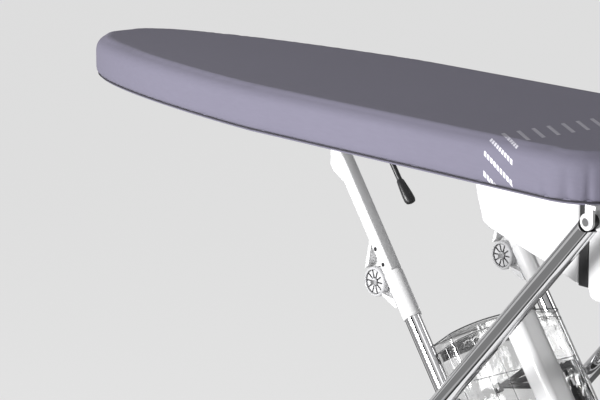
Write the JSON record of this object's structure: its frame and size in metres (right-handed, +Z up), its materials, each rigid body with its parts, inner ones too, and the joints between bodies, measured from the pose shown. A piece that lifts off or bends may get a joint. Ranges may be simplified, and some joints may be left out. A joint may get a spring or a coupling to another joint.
{
  "type": "ironing board",
  "caption": "Free-standing ironing board with a padded top on a scissor stand, blower casing under the heel, height lever, transport wheels, clear water tank and boiler case.",
  "frame": {"origin": "on the floor, below the middle of the padded top", "axes": "+X from the nose to the heel of the board, +Z up, +Y across it"},
  "size_m": [1.405, 0.45, 0.85],
  "materials": {
    "cover_fabric": "woven cotton, matte",
    "foam": "open-cell foam",
    "black_plastic": "satin",
    "white_plastic": "satin",
    "white_metal": "powder coat",
    "wheel_plastic": "satin",
    "aluminium": "plain",
    "brushed_steel": "brushed",
    "chrome": "polished",
    "black_metal": "satin",
    "rubber": "matte",
    "clear_plastic": "clear, polished"
  },
  "bodies": {
    "board": {"board_tray": "white_metal", "heater_plate": "aluminium", "deck": "brushed_steel", "foam_pad": "foam", "cover": "cover_fabric", "drawcord": "black_plastic", "cord_lock": "black_plastic", "rail_near": "brushed_steel", "rail_far": "brushed_steel", "hinge_lug_near": "white_plastic", "hinge_lug_far": "white_plastic", "hinge_pins": "chrome", "blower_front": "white_plastic", "blower_band": "black_plastic", "blower_rear": "white_plastic", "blower_gasket": "rubber", "intake_grille": "black_plastic", "fan_motor": "brushed_steel", "mains_inlet": "black_plastic", "lever_bracket": "brushed_steel", "lever_pin": "chrome"},
    "fan": {"fan_rotor": "black_plastic"},
    "lever": {"lever_rod": "black_metal", "lever_grip": "black_plastic"},
    "outer_legs": {"b_tube_near": "brushed_steel", "b_tube_far": "brushed_steel", "b_plug_near": "black_plastic", "b_plug_far": "black_plastic", "b_brace": "brushed_steel", "b_foot_bar": "brushed_steel", "b_foot_caps": "rubber", "cross_bolts": "chrome", "cross_nuts": "chrome"},
    "inner_legs": {"a_arm_near": "white_plastic", "a_arm_far": "white_plastic", "a_sleeve_near": "white_plastic", "a_sleeve_far": "white_plastic", "a_tube_near": "chrome", "a_tube_far": "chrome", "a_glides": "white_plastic", "cross_bushes": "white_plastic", "a_foot_bar": "chrome", "a_foot_caps": "rubber", "arm_rivets": "black_metal", "wheel_fork_near": "white_plastic", "wheel_fork_far": "white_plastic", "wheel_axles": "chrome", "tank_cradle": "black_plastic", "centre_column": "white_plastic", "boiler_case": "white_plastic", "boiler": "aluminium", "pump": "black_plastic", "cradle_bolts": "chrome"},
    "near_wheel": {"wheel_near": "wheel_plastic"},
    "far_wheel": {"wheel_far": "wheel_plastic"},
    "water_tank": {"tank": "clear_plastic", "tank_valve": "black_plastic", "float_guide": "black_plastic"},
    "cap": {"tank_cap": "black_plastic"}
  },
  "joints": [
    {"name": "leg_fold", "type": "hinge", "parent": "board", "child": "outer_legs", "pos_m": [0.661, 0, 0.755], "axis": [0, 1, 0], "range_deg": [-5, 32]},
    {"name": "scissor", "type": "hinge", "parent": "outer_legs", "child": "inner_legs", "pos_m": [0.347, 0, 0.41], "axis": [0, 1, 0], "range_deg": [-68, 11]},
    {"name": "near_wheel_spin", "type": "hinge", "parent": "inner_legs", "child": "near_wheel", "pos_m": [0.17705, -0.136, 0.5694], "axis": [0, 1, 0], "continuous": true},
    {"name": "far_wheel_spin", "type": "hinge", "parent": "inner_legs", "child": "far_wheel", "pos_m": [0.17705, 0.136, 0.5694], "axis": [0, 1, 0], "continuous": true},
    {"name": "fan_spin", "type": "hinge", "parent": "board", "child": "fan", "pos_m": [0.5, 0, 0.73], "axis": [0, 0, 1], "continuous": true},
    {"name": "height_lever", "type": "hinge", "parent": "board", "child": "lever", "pos_m": [0.192, -0.127, 0.769], "axis": [0, 1, 0], "range_deg": [-25, 0], "stiffness_Nm_per_rad": 1.5, "springref_deg": 8.59},
    {"name": "tank_lift", "type": "slide", "parent": "inner_legs", "child": "water_tank", "axis": [-0.5906, 0, 0.807], "range_m": [0, 0.05]},
    {"name": "tank_cap_lift", "type": "slide", "parent": "water_tank", "child": "cap", "axis": [-0.5906, 0, 0.807], "range_m": [0, 0.03]}
  ],
  "couplings": [
    {"joint": "scissor", "follows": "leg_fold", "ratio": -2.11}
  ]
}
